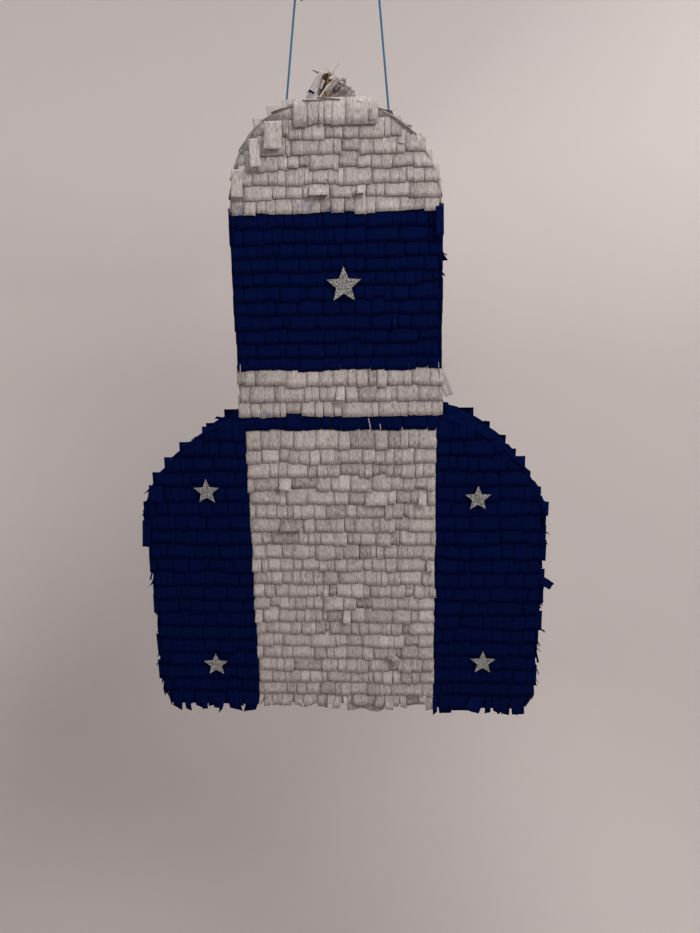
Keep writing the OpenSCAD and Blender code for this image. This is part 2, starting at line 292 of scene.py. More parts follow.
string_blue = string_finish()
for name, route in (("left", LEFT_ROUTE), ("right", RIGHT_ROUTE)):
    top, exit_point = np.array(route[0]), np.array(route[1])
    x = top[0]

    # The loop: a teardrop whose two strands meet in the knot, then the strand down to the free string
    t = np.linspace(0.10, 2 * math.pi - 0.10, 150)
    drop = np.stack([x + 1.12 * LOOP_R * np.sin(t) * np.sin(t / 2) ** 1.4, 0.0006 * np.cos(t / 2),
                     -0.0069 - 0.0079 * np.cos(t)], 1)
    turns, out = wraps(x, top[2] + 0.0014)
    tail = stretch((x + 0.0016, -0.0012, top[2] + 0.0052), (x + 0.0068, -0.0030, top[2] - 0.0022),
                   bow=-0.0012)
    parts = [plied(drop, (0, 1, 0)), plied(turns, out), plied(tail, (0, 1, 0.2)),
             plied(stretch((x, 0, top[2] + 0.0075), top + [0, 0, -STRING_R]), (0, 1, 0))]
    points, faces, crown = joined(parts)
    loop = make(f"{name}_tied_loop", points, faces, string_blue, "hanging_loops",
                replaces=[f"{name}_hanging_loop"], values={"crown": crown})

    # The free string, with its ends rounded about the two points that it swings on
    along = (exit_point - top) / np.linalg.norm(exit_point - top)
    points, faces, crown = plied(stretch(top - STRING_R * along, exit_point + STRING_R * along), (0, 1, 0))
    run = make(f"{name}_free_string", points, faces, string_blue, "strings",
               replaces=[f"{name}_string"], values={"crown": crown})
    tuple(exit_point)

    # Inside the dome: the strand from the free string down to its stopper knot, and the knot's loose end
    x = exit_point[0]
    knot_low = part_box(f"{name}_inner_knot")[0].z + 0.0105
    turns, out = wraps(x, knot_low)
    inside = stretch(exit_point + [0, 0, STRING_R], (x, 0, knot_low))
    tail = stretch((x, 0.001, knot_low + 0.002), (x, 0.0055, knot_low - 0.0095), bow=0.001)
    parts = [plied(turns, out), plied(inside, (0, 1, 0)), plied(tail, (1, 0, 0))]
    points, faces, crown = joined(parts)
    make(f"{name}_stopper_knot", points, faces, string_blue, "pinata",
         replaces=[f"{name}_inner_knot"], values={"crown": crown})

# ---- Cardboard box ----
# Single-wall corrugated card, cut to the outline for the front and the back, and in bands bent
# round the edge between them. The dome's band has the filling hole cut through it.
FLUTE = 0.0065
CARD_NODES = ["front_panel", "back_panel", "dome_band", "left_tower_wall", "right_tower_wall",
              "left_shoulder_band", "right_shoulder_band", "left_side_wall", "right_side_wall", "base_wall"]


def card_finish():
    """Brown kraft liner: short darker and paler fibres, soft blotches, and the flutes showing through as
    faint upright ribs, in the relief and as painted shade in the colour."""
    made, start, shader = finish("card brown kraft")
    place = start.node("TexCoord", out=3)
    fibre = start.noise(place, (900.0, 900.0, 260.0), 4.0, Roughness=0.7)
    blotch = start.noise(place, 28.0, 3.0)
    ribs = start.node("TexWave", {"bands_direction": "X", "wave_profile": "SIN"}, Vector=place,
                      Scale=math.pi / (10 * FLUTE), Distortion=0.4)
    # ribs put a faint painted shade of the flutes into the colour, besides their bump.
    tone = (fibre - 0.5) * 0.9 + (blotch - 0.5) * 0.7 + ribs * 0.12 + 0.45
    colour = tone.mix((0.24, 0.135, 0.062), (0.50, 0.33, 0.185))
    rib_bump = start.node("Bump", Strength=0.35, Distance=0.0006, Height=ribs)
    coat(shader, colour, fibre * 0.2 + 0.78, 0.3, 0.0002, fibre, Normal=rib_bump)
    return made


card_brown = card_finish()


def repaint(names, material):
    """Gives CAD nodes that stay in sight their finish."""
    for n in names:
        node = frame["nodes"][n]
        node.data.materials.clear()
        node.data.materials.append(material)


repaint(CARD_NODES, card_brown)

# ---- Masking tape ----
# Cream crepe-paper tape over every seam of the box, and a square of it under each string hole.
TAPE_NODES = ["front_seam_tape", "back_seam_tape", "left_string_patch", "right_string_patch"]


def tape_finish():
    """Cream tape: fine cross wrinkles, whose relief also lightens and darkens the colour as painted shade,
    slightly glossy, with a warmer tint where the glue shows.
    """
    made, start, shader = finish("tape cream crepe")
    place = start.node("TexCoord", out=3)
    wrinkle = start.noise(place, (1500.0, 300.0, 1500.0), 3.0)
    glue = start.noise(place, 45.0, 2.0)
    # The wrinkle noise also sets the colour: painted shade in the wrinkles, lighter on their crowns.
    colour = (wrinkle * 0.5 + glue * 0.5).mix((0.46, 0.36, 0.20), (0.74, 0.66, 0.47))
    coat(shader, colour, wrinkle * 0.2 + 0.62, 0.5, 0.0002, wrinkle)
    return made


repaint(TAPE_NODES, tape_finish())

# ---- Crepe fringe ----
# Strips of crepe paper, cut along their lower edge into flaps and glued on in rows from the bottom
# up, so that each row hangs over the glued top of the one below. Light grey and navy, single ply.
GLUE = 0.0004
PLY = 0.00022
OVERLAP = 1.42
NARROWEST = 0.0045
WIDEST = 0.030
UNEVEN = 0.5
STEP = 0.012
ACROSS = 5
DOWN_STEPS = 5
BACK_POINTS = 25
BACK_ROWS = 3
BACK_OUT = 0.0015
TOP_INSET = 0.004
dice = np.random.default_rng(7)

base_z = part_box("front_panel")[0].z
top_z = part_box("front_panel")[1].z
box_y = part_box("back_panel")[1].y
base_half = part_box("front_panel")[1].x
tower_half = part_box("right_tower_wall")[1].x
wall_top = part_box("right_tower_wall")[1].z
shoulder_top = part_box("right_shoulder_band")[1].z
shoulder_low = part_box("right_side_wall")[1].z
waist_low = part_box("waist_front_fringe")[0].z
waist_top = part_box("collar_front_fringe")[0].z
collar_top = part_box("upper_front_fringe")[0].z
centre_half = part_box("centre_front_fringe")[1].x
DOME_POWER = {-1: 2.4, 1: 2.0}
SHOULDER_POWER = 1.56
FOOT = [(-0.0145, -0.012), (-0.0065, 0.002), (-0.001, 0.010), (0.0, 0.020)]
QUARTER_POINTS = 40


def quarter(a, b, power):
    """A quarter of a superellipse, from its side round to its top: a cos(t)^(2/power), b
    sin(t)^(2/power)."""
    t = np.linspace(0, math.pi / 2, QUARTER_POINTS)
    return np.stack([a * np.cos(t) ** (2 / power), b * np.sin(t) ** (2 / power)], 1)


def edge_of(side):
    """Points (out from the middle, height) along half of the box's outline, from its foot to the dome's
    top. The foot's points are from the side wall and the base, and let the lowest flaps hang below the
    card."""
    foot = np.array(FOOT) + [base_half, base_z]
    shoulder = quarter(base_half - tower_half, shoulder_top - shoulder_low, SHOULDER_POWER)
    shoulder = shoulder + [tower_half, shoulder_low]
    dome = quarter(tower_half, top_z - wall_top, DOME_POWER[side]) + [0, wall_top]
    return np.concatenate([foot, shoulder, [[tower_half, shoulder_top + 0.0001]], dome])


def width_at(side, z):
    """How far out the box's outline is at a height, on that side."""
    edge = edge_of(side)
    return np.interp(z, edge[:, 1], edge[:, 0])


def cut(start, end, usual):
    """Where a strip from start to end is cut into flaps: uneven widths, that together fill it."""
    count = int(abs(end - start) / 0.004) + 2
    widths = np.clip(dice.lognormal(math.log(usual), UNEVEN, count), NARROWEST, WIDEST)
    edges = np.concatenate([[0], np.cumsum(widths)])
    edges = edges[: max(1, int(np.searchsorted(edges, abs(end - start) - 0.003))) + 1]
    return start + edges * (end - start) / edges[-1]


def thin(piece, thickness=PLY):
    """Gives a sheet its thickness."""
    ply = piece.modifiers.new("ply", "SOLIDIFY")
    ply.thickness = thickness
    ply.offset = 0
    return piece


def fringe(name, strips, lay, finish, replaces=(), wild=1.0, fray=0.0, lean=5, usual=0.0115,
           keep=None, press=None, top=None):
    """Rows of cut flaps. strips lists (start, end, low, pitch): where a strip starts and ends, the
    height of its cut edge, and how much of it shows. Each flap is a small grid over u, across, and v,
    down. Its angle off the card is lean + bend v^2, whose cosine and sine add up to how far it goes down
    and out. It is then slanted, tilted, twisted and waved by its own amounts, which grow with v, with
    wild, and for a torn hem with fray. usual is the usual width of a flap. lay takes (along, height,
    out) to its place on the box, keep picks flaps by (along, height, width), press holds flaps down
    under what is glued on them, and top is the outline, which the upper corners of a strip stick out
    past by up to STEP."""
    left, right, low, pitch, sag = [], [], [], [], []
    for start, end, z, p in strips:
        at = cut(start, end, usual)
        left.append(at[:-1])
        right.append(at[1:])
        n = len(at) - 1
        low.append(np.full(n, z))
        pitch.append(np.full(n, p))
        swell = 0.0007 * np.sin(at[:-1] * dice.uniform(60, 150) + dice.uniform(0, 6.3))
        sag.append(swell + dice.normal(0, 0.0003))
    left, right, low, pitch, sag = map(np.concatenate, (left, right, low, pitch, sag))
    if keep is not None:
        kept = keep((left + right) / 2, low, np.abs(right - left))
        left, right, low, pitch, sag = (x[kept] for x in (left, right, low, pitch, sag))
    n = len(left)
    length = pitch * OVERLAP
    wide = right - left

    def draw(spread, middle=0.0):
        return dice.normal(middle, spread, n)

    short = dice.random(n) < 0.10
    drop = sag + draw(0.0005) * wild + draw(0.0018) * fray
    drop = drop - np.where(short, dice.uniform(0.0005, 0.0026, n), 0)
    bend = np.clip(draw(0.07, 0.02), -0.12, 0.4) * wild
    lifted = dice.random(n) < 0.03 * wild * wild
    bend = np.where(lifted, dice.uniform(0.35, 1.1, n), bend)
    u = np.linspace(0, 1, ACROSS)[None, None, :]
    v = np.linspace(0, 1, DOWN_STEPS)[None, :, None]

    def each(numbers):
        return numbers[:, None, None]

    angle = math.radians(lean) + each(bend) * v ** 2
    step = each(length) / (DOWN_STEPS - 1)
    mid = (angle[:, 1:] + angle[:, :-1]) / 2
    zero = np.zeros((n, 1, 1))
    down = np.concatenate([zero, np.cumsum(np.cos(mid) * step, 1)], 1)
    out = np.concatenate([zero, np.cumsum(np.sin(mid) * step, 1)], 1)
    open_slit = dice.random(n) < 0.16 * wild
    gap = each(np.where(open_slit, dice.uniform(0.0004, 0.0016, n), 0.0001)) / each(wide)
    slant = each(draw(0.02) * wild + draw(0.10) * fray)
    along = each(left) + each(wide) * (0.5 + (u - 0.5) * (1 - gap * v)) + slant * v ** 2 * each(length)
    ragged = dice.normal(0, 0.00022, (n, 1, ACROSS)) * v ** 3
    askew = each(draw(0.035) + draw(0.12) * fray)
    height = each(low + length) - down * (1 + askew * (u - 0.5)) - each(drop) * v - ragged
    wave_high = each(dice.uniform(0.0, 0.0004, n) * wild)
    waves = each(dice.uniform(0.4, 1.3, n))
    wave = wave_high * np.sin(2 * math.pi * (waves * u + each(dice.random(n))))
    twist = each(draw(0.022) * wild) * (u - 0.5) * each(wide)
    out = GLUE + 0.0002 + out + each(dice.uniform(0, 0.0003, n)) + (wave + twist) * v
    out = np.maximum(out, GLUE + 0.0003 + 0.0012 * v)
    shape = np.broadcast_shapes(along.shape, height.shape, out.shape)
    along, height, out = (np.broadcast_to(x, shape) for x in (along, height, out))
    if press is not None:
        out = press(along, height, out)
    if top is not None:
        height = np.minimum(height, top(along) + np.clip(each(low + pitch) - top(along), 0, STEP))
    points = lay(along, height, out)
    # Each flap has a tone of its own, and flaps cut short are also painted darker: a painted shade for the
    # deeper gap where they end.
    tone = np.broadcast_to(each(dice.normal(0, 0.5, n) - 1.6 * short), shape)
    uv = np.stack([along + each(dice.uniform(0, 5, n)), np.broadcast_to(v * each(length), shape)], -1)

    # Behind the flaps, the glued top of each strip covers the card, out to the outline if there is one
    backs = []
    u = np.linspace(0, 1, BACK_POINTS)[None, :]
    lift = GLUE + np.linspace(0.0001, 0.0005, BACK_ROWS)[:, None]
    for start, end, z, p in strips:
        high = z + p * OVERLAP + 0.0005
        if top is not None:
            high = min(high, top_z + 0.001)
        h = np.linspace(high, z + p * 0.22, BACK_ROWS)[:, None]
        if top is not None and start < 0:
            start = np.minimum(-width_at(-1, h - BACK_OUT) - BACK_OUT, end - 0.0005)
        if top is not None and end > 0:
            end = np.maximum(width_at(1, h - BACK_OUT) + BACK_OUT, start + 0.0005)
        backs.append(lay(start + (end - start) * u + 0 * h, h + 0 * u, lift + 0 * u))
    backs = np.array(backs).reshape(-1, 3)
    faces = [quads(DOWN_STEPS, ACROSS, copies=n),
             quads(BACK_ROWS, BACK_POINTS, copies=len(strips)) + n * ACROSS * DOWN_STEPS]
    outward = lay(along[0, 0, 0], height[0, 0, 0], out[0, 0, 0] + 0.001) - points[0, 0, 0]
    if np.cross(points[0, 0, 1] - points[0, 0, 0], points[0, 1, 0] - points[0, 0, 0]) @ outward < 0:
        faces = [f[:, ::-1] for f in faces]
    points = np.concatenate([points.reshape(-1, 3), backs])
    tone = np.concatenate([tone.ravel(), np.zeros(len(backs))])
    uv = np.concatenate([uv.reshape(-1, 2), backs[:, [0, 2]]])
    return thin(make(name, points, faces, finish, "pinata", replaces, values={"tone": tone}, uv=uv))


def crepe_finish(name, deep, pale, spread, bare=0.5, stain=None, alpha=1.0, relief=0.0008):
    """Crepe paper: fine crinkles that run down each flap, with painted highlight along their crowns and
    painted shade between them, and a tone of its own for each flap. A stain is a colour and the heights near
    which it has bled in."""
    made, start, shader = finish(name, Specular_IOR_Level=0.0, Alpha=alpha)
    flat = start.node("UVMap", {"uv_map": "flat"})
    fine = start.noise(flat, (900.0, 230.0, 1.0), 2.0, Roughness=0.55)
    broad = start.noise(flat, (260.0, 50.0, 1.0), 1.0)
    tone = start.node("Attribute", {"attribute_name": "tone"}, out=2)
    # The crinkle noise lightens and darkens the colour: painted highlight on the crowns, painted shade in
    # the folds.
    shade = (fine - 0.5) * spread + (broad - 0.5) * 0.35 * spread + tone * 0.10 + bare
    colour = shade.mix(deep, pale)
    if stain is not None:
        place = start.node("TexCoord", out=3)
        spot = start.noise(place, 55.0, 3.0)
        height = start.node("SeparateXYZ", Vector=place, out=2)
        amount = 0.0
        for z in stain[1]:
            near = 1 - start.maths("ABSOLUTE", height - z).clear(0.001, 0.012)
            amount = near + amount
        colour = (spot.clear(0.60, 0.72) * amount * 0.6).mix(colour, stain[0])
    coat(shader, colour, 0.92 - fine * 0.18, 1.0, relief, fine * 0.8 + broad * 0.4)
    return made


NAVY_STAIN = (0.10, 0.13, 0.24)
grey_crepe = crepe_finish("crepe light grey", (0.12, 0.103, 0.097), (0.65, 0.592, 0.573), 1.25,
                          stain=(NAVY_STAIN, [wall_top + 0.004, waist_top + 0.004]))
navy_crepe = crepe_finish("crepe navy", (0.0014, 0.0040, 0.030), (0.0020, 0.0056, 0.043), 0.6, bare=0.44,
                          relief=0.0003)


def face_lay(sign):
    """lay() for the front, with sign -1, or the back: along is X, height is Z, out is away from the box."""
    return lambda along, height, out: np.stack([along, sign * (box_y + out), height], -1)


def edge_lay(side, low=0.0, high=9.0):
    """lay() for the box's edge on one side: along is Y, height is the length up the outline, and out is
    off it. Heights are held between low and high, so that no flap crosses the inner corner at the
    shoulder. Past the dome's top, the outline goes on down the other side."""
    edge = edge_of(side)
    over = edge_of(-side)[::-1][1:30] * [-1, 1]
    edge = np.concatenate([edge, over])
    s = lengths_along(edge)
    even = np.arange(0, s[-1], 0.001)
    x, z = np.interp(even, s, edge[:, 0]), np.interp(even, s, edge[:, 1])
    nx, nz = np.gradient(z, even), -np.gradient(x, even)

    def lay(along, height, out):
        h = np.clip(height, low, high)
        return np.stack([side * (np.interp(h, even, x) + out * np.interp(h, even, nx)), along,
                         np.interp(h, even, z) + out * np.interp(h, even, nz)], -1)

    return lay


def length_at(side, corner):
    """The length up the outline to its last point at or below a height, or to its inner corner or its
    top."""
    edge = edge_of(side)
    s = lengths_along(edge)
    if corner == "top":
        return s[-1]
    if corner == "inner":
        return s[len(FOOT) + QUARTER_POINTS - 1]
    return float(np.interp(corner, edge[:, 1], s))


STAR_SPAN = 1.902
STAR_PLACES = {}
for n in ("tower_star", "upper_left_star", "upper_right_star", "lower_left_star", "lower_right_star"):
    low_corner, high_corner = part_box(n)
    r = (high_corner.x - low_corner.x) / STAR_SPAN
    STAR_PLACES[n] = ((low_corner.x + high_corner.x) / 2, high_corner.z - r, r)


def under_stars(along, height, out):
    """Flaps are held flat where a star is glued on."""
    for x, z, r in STAR_PLACES.values():
        near = np.hypot(along - x, height - z) < r + 0.003
        out = np.where(near, np.minimum(out, 0.0031), out)
    return out


def top_at(x):
    """The height of the box's outline, TOP_INSET farther in than x."""
    tops = []
    for side in (-1, 1):
        edge = edge_of(side)[len(FOOT):]
        tops.append(np.interp(-(side * x - TOP_INSET), -edge[:, 0], edge[:, 1]))
    return np.where(x < 0, tops[0], tops[1])


def rows(low, high, count, left, right, over=0.0, drop=0.0):
    """Strips of fringe from low to high, each from left to right: numbers, or functions of a strip's
    height. Their ends stick out past both by up to over."""
    pitch = (high - low) / count
    made = []
    for i in range(count):
        z = low + i * pitch
        ends = [e(z + 0.05 * pitch) if callable(e) else e for e in (left, right)]
        made.append((ends[0] - dice.uniform(0, over), ends[1] + dice.uniform(0, over), z - drop, pitch))
    return made


DOME_STEPS = {-1: (0.99, 0.985, 0.93, 0.90, 0.84, 0.74, 0.58),
              1: (0.98, 1.01, 1.03, 1.04, 1.045, 0.92, 0.79)}
DEEP_STRIP = 1.75


def dome_strips():
    """Six strips of one pitch and a deeper one over them, which reach out to shares of the dome's width."""
    last = len(DOME_STEPS[1]) - 1
    pitch = (top_z + 0.002 - wall_top) / (last + DEEP_STRIP)
    made = []
    for i, shares in enumerate(zip(DOME_STEPS[-1], DOME_STEPS[1])):
        z = wall_top + i * pitch
        reach = [share * width_at(side, z + 0.5 * pitch) for side, share in zip((-1, 1), shares)]
        deep = DEEP_STRIP if i == last else 1.0
        made.append((-reach[0] - dice.uniform(0, 0.002), reach[1] + dice.uniform(0, 0.002), z, pitch * deep))
    return made


# Front and back, area by area
UPPER_ROWS = 11
COLLAR_ROWS = 3
CENTRE_ROWS = 21
WING_ROWS = 20
HANG = 0.005
HEM_DROP = 0.004
HEM_INSET = 0.009
RIM_OVER = {"dome": 0.0022, "left_wing": 0.0012, "right_wing": 0.0012}
tower_edge = tower_half + 0.0030


def rim_over(over):
    """The outline that an area's flaps are cut to, that much over the box's own."""
    return lambda x: top_at(x) + over


def wing_rows(side):
    """A wing's strips, from the centre panel and the collar out to the outline. The lowest is its torn
    hem."""
    made = []
    outline = rows(base_z, shoulder_top, WING_ROWS, 0, lambda z: width_at(side, max(z, base_z + 0.012)),
                   0.007, HANG)
    for _, end, z, p in outline:
        inner = tower_half + 0.0038 if z + p / 2 > waist_top else centre_half + 0.0004
        if z < base_z:
            z, p, end = z - HEM_DROP, p + HEM_DROP, end - HEM_INSET
        made.append((min(side * inner, side * end), max(side * inner, side * end), z, p))
    return made


for where, sign in (("front", -1), ("back", 1)):
    lay = face_lay(sign)
    press = under_stars if sign < 0 else None
    areas = {
        "centre": (rows(base_z, waist_low, CENTRE_ROWS, -centre_half, centre_half, 0.0015, HANG),
                   grey_crepe, 1.0),
        "waist": (rows(waist_low, waist_top, 1, -centre_half, centre_half, 0.001), navy_crepe, 0.6),
        "collar": (rows(waist_top, collar_top, COLLAR_ROWS, -tower_edge, tower_edge, 0.0030),
                   grey_crepe, 0.9),
        "upper": (rows(collar_top, wall_top, UPPER_ROWS, -tower_edge, tower_edge, 0.0012), navy_crepe, 0.5),
        "dome": (dome_strips(), grey_crepe, 0.95),
    }
    for side, word in ((-1, "left"), (1, "right")):
        areas[f"{word}_wing"] = (wing_rows(side), navy_crepe, 0.5)
    for area, (strips, material, wild) in areas.items():
        rim = rim_over(RIM_OVER[area]) if area in RIM_OVER else None
        lean = 1.5 if material is navy_crepe else 4.5
        if strips[0][2] < base_z:
            hem, strips = strips[:1], strips[1:]
            fringe(f"{area}_{where}_hem", hem, lay, material, wild=1.6, fray=1.0, lean=lean, usual=0.009,
                   top=rim)
        fringe(f"{area}_{where}_flaps", strips, lay, material, [f"{area}_{where}_fringe"], wild=wild,
               lean=lean, press=press, top=rim)

# Round the edge, from the foot up to the dome. The string holes and the filling hole stay clear.
SIDE_ROWS = 15
SHOULDER_ROWS = 10
UPPER_EDGE_ROWS = 10
CROWN_ROWS = 11
FOOT_HANG = 0.006
CORNER_GAP = 0.0006
HOLE_GAP = 0.0015
FLAP_REACH = 0.028
depth = box_y + 0.001
hinge = next(joint for joint in frame["joints"] if joint["name"] == "flap_hinge")
crease_x, _, top_of_box = hinge["pos_m"]
flap_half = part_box("fill_flap")[1].y
string_exits = {-1: LEFT_ROUTE[1][0], 1: RIGHT_ROUTE[1][0]}
hole_side = flap_half + HOLE_GAP
hole_reach = {-1: 0.0085 - crease_x, 1: crease_x + FLAP_REACH + HOLE_GAP}


def length_to(side, reach):
    """The length up the outline to where the dome is that far from the middle."""
    edge = edge_of(side)
    dome = slice(-QUARTER_POINTS, None)
    return float(np.interp(-reach, -edge[dome, 0], lengths_along(edge)[dome]))


def round_hole(strips, rim):
    """Strips round the dome, which is open in its middle past the length rim: there a strip is two, one
    on each side of the hole, and the strip that meets the rim has shorter flaps along it."""
    made = []
    for start, end, low, pitch in strips:
        if low + pitch * OVERLAP <= rim:
            made.append((start, end, low, pitch))
            continue
        made += [(start, -hole_side, low, pitch), (hole_side, end, low, pitch)]
        if rim - low > 0.004:
            made.append((-hole_side, hole_side, low, (rim - low) / OVERLAP))
    return made


def edge_rows(low, high, count):
    """Strips across the box's edge, between two lengths up the outline."""
    return rows(low, high, count, -depth, depth, 0.002)


def clear_of_string(at_string, reach):
    """Picks the flaps that don't lie over a string's hole, that far up the outline. They reach down by
    reach."""
    def clear(along, height, wide):
        beside = np.abs(along) > wide / 2 + 0.0012
        return beside | (height > at_string + 0.002) | (height + reach < at_string - 0.002)

    return clear


for side, word in ((-1, "left"), (1, "right")):
    foot_end = length_at(side, base_z)
    shoulder_start = length_at(side, shoulder_low)
    inner = length_at(side, "inner")
    wall_start, grey_end, wall_end = inner + 0.001, length_at(side, collar_top), length_at(side, wall_top)
    crown_end = length_at(side, "top")
    low_end = inner - CORNER_GAP
    side_strips = edge_rows(foot_end - FOOT_HANG, shoulder_start, SIDE_ROWS)
    shoulder_strips = edge_rows(shoulder_start, low_end, SHOULDER_ROWS)
    low_lay = edge_lay(side, 0.0, low_end)
    high_lay = edge_lay(side, inner + CORNER_GAP)
    fringe(f"{word}_side_flaps", side_strips, low_lay, navy_crepe, [f"{word}_side_edge_fringe"],
           wild=3.0, fray=0.5, lean=10, usual=0.007)
    fringe(f"{word}_shoulder_flaps", shoulder_strips, low_lay, navy_crepe, [f"{word}_shoulder_edge_fringe"])
    fringe(f"{word}_collar_edge_flaps", edge_rows(wall_start, grey_end, COLLAR_ROWS), high_lay, grey_crepe,
           ["collar_edge_fringe"], wild=1.2)
    fringe(f"{word}_upper_edge_flaps", edge_rows(grey_end, wall_end, UPPER_EDGE_ROWS), high_lay, navy_crepe,
           ["upper_edge_fringe"], wild=1.3)
    crown = round_hole(edge_rows(wall_end, crown_end, CROWN_ROWS), length_to(side, hole_reach[side]))
    string_clear = clear_of_string(length_to(side, abs(string_exits[side])),
                                   1.2 * (crown_end - wall_end) / CROWN_ROWS)
    fringe(f"{word}_crown_flaps", crown, high_lay, grey_crepe, ["dome_edge_fringe"], keep=string_clear)

# ---- Loose bits of crepe ----
# Flaps left folded or pulled half off: thin ones over the dome's corners and under the base, a navy
# one past the tower's corner, ends on the wings, threads at the waist, and a shred of torn card.
LOOSE_THIN = [
    (-40, -36, 583, 173, 10, 11, 11, 0, 12, 0),
    (-52, -40, 578, 174, 11, 13, 13, 0, 14, 0),
    (-64, -44, 567, 180, 8, 12, 10, 0, 10, 0),
    (66, -46, 553, -171, 11, 20, 19, 0, 10, 0),
    (94, -30, 344, 150, 22, 10, 8, 10, 15, -1.5),
    # Its tone of -3.5 paints the thin flap under the base darker, a painted shade.
    (22, -42, 6, -174, 17, 46, 38, 0, 6, -3.5),
    (27, -52, 306, 167, 12, 0.8, 0.7, 6, 0, 0),
    (38, -52, 300, 176, 6, 0.7, 0.6, -6, 0, 0),
]
LOOSE_GREY = [
    (-52, -52, 564, -179, 22, 13, 16, 0, 4, 0.5),
    (-69, -52, 551, 177, 23, 8, 10, 0, 5, 0.5),
    (-85, -51, 527, -178, 23, 9, 11, 0, 5, 0.5),
    (34, -45, 569, 116, 33, 4, 3, -6, 40, -4),
    (32, -50, 571, 172, 9, 2, 5, 0, 15, -2),
    (45, -54, 59, 121, 12, 6, 5, 0, 20, -1.5),
]
LOOSE_NAVY = [
    (91, -52, 493, 179, 24, 7, 7, 0, 2, 3.5),
    (195, -49, 141, 116, 12, 9, 8, 10, 8, 1),
    (172, -51, 8, 155, 16, 8, 6, 0, 5, 1),
    (-195, -50, 205, -175, 28, 8, 8, 0, 3, 0.5),
    (-182, -50, 240, -171, 16, 14, 14, 0, 3, 0.5),
]
TORN_CARD = [
    (48, -46, 560, 124, 5.5, 2.5, 2, 0, 10, 0),
]
RIBBON_STEPS = 14
RIBBON_ACROSS = 7
thin_crepe = crepe_finish("crepe single ply", (0.30, 0.270, 0.262), (0.62, 0.575, 0.56), 0.9, alpha=0.80)


def ribbons(name, bits, finish, body, replaces=()):
    """Loose pieces, each listed as x, y, height over the base, turn from upright towards +X, length,
    widths of its two ends, bend, tilt and tone, in millimetres and degrees. Its middle line turns by
    bend from end to end, its faces are turned by tilt about that line, it lifts off with the square of
    its length, and waves run down it."""
    columns = [np.array(column, float)[:, None, None] for column in zip(*bits)]
    x, y, up, turn, long, wide, narrow, bend, tilt, tone = columns
    v = np.linspace(0, 1, RIBBON_STEPS)[None, :, None]
    u = np.linspace(-0.5, 0.5, RIBBON_ACROSS)[None, None, :]
    steps = RIBBON_STEPS - 1
    heading = np.radians(turn + bend * v)
    tilt = np.radians(tilt)
    count = len(bits)
    phase, lift = dice.uniform(0, 6, (2, count, 1, 1))
    w = u * (wide + (narrow - wide) * v)
    off = 0.02 * lift * long * v ** 2 + 0.05 * wide * np.sin(9 * u + phase) * (0.3 + v)
    sideways = x + np.cumsum(np.sin(heading), 1) * long / steps + w * np.cos(heading) * np.cos(tilt)
    upwards = up + np.cumsum(np.cos(heading), 1) * long / steps - w * np.sin(heading) * np.cos(tilt)
    points = np.stack([sideways, y - w * np.sin(tilt) - off, upwards], -1) * 0.001
    uv = np.stack([w + 100 * phase, v * long + 0 * w], -1) * 0.001
    faces = quads(RIBBON_STEPS, RIBBON_ACROSS, copies=count)
    return thin(make(name, points + [0, 0, base_z], [faces], finish, body, replaces,
                     values={"tone": tone + 0 * w}, uv=uv))


ribbons("loose_thin_flaps", LOOSE_THIN, thin_crepe, "pinata", ["dome_edge_fringe"])
ribbons("loose_grey_flaps", LOOSE_GREY, grey_crepe, "pinata", ["dome_front_fringe"])
ribbons("loose_navy_flaps", LOOSE_NAVY, navy_crepe, "pinata", ["right_wing_front_fringe"])
ribbons("torn_card_shred", TORN_CARD, card_brown, "pinata")

# ---- Cover under the base ----
# One flat sheet of navy crepe glued under the base and turned up round its two rounded corners.
CORNER_R = 0.012


def base_sheet():
    """A sheet carried along the bottom of the outline: up one corner's quarter circle, along the base,
    and up the other. It stands off the card by a low, uneven swell."""
    arc = np.linspace(math.pi / 2, 0, 8)
    inner = base_half - CORNER_R
    right = np.stack([inner + CORNER_R * np.sin(arc), base_z + CORNER_R * (1 - np.cos(arc))], 1)
    flat = np.stack([np.linspace(inner, -inner, 60)[1:-1], np.full(58, base_z)], 1)
    path = np.concatenate([right, flat, right[::-1] * [-1, 1]])
    along = np.gradient(path, axis=0)
    out = np.stack([-along[:, 1], along[:, 0]], 1) / np.linalg.norm(along, axis=1)[:, None]
    y = np.linspace(-box_y - 0.0005, box_y + 0.0005, 14)[None]
    a = np.arange(len(path))[:, None]
    swell = GLUE + 0.0006 + 0.0004 * np.sin(0.9 * a + 40 * y) * np.sin(0.37 * a - 90 * y)
    points = np.stack([path[:, :1] + out[:, :1] * swell, y + 0 * a, path[:, 1:] + out[:, 1:] * swell], -1)
    return points, quads(len(path), 14), np.stack([path[:, :1] + 0 * y, y + 0 * a], -1)


points, faces, uv = base_sheet()
sheet = make("base_cover_sheet", points, [faces], navy_crepe, "pinata", ["base_cover"],
             values={"tone": np.zeros(points.shape[:2])}, uv=uv)
thin(sheet)

# ---- Stars ----
# Five-pointed stickers of thin foam under a coat of coarse silver glitter, pressed on the crepe.
STAR_INNER = 0.44
STAR_T = 0.0018
STAR_BEVEL = 0.0005
STAR_POINTS = 60


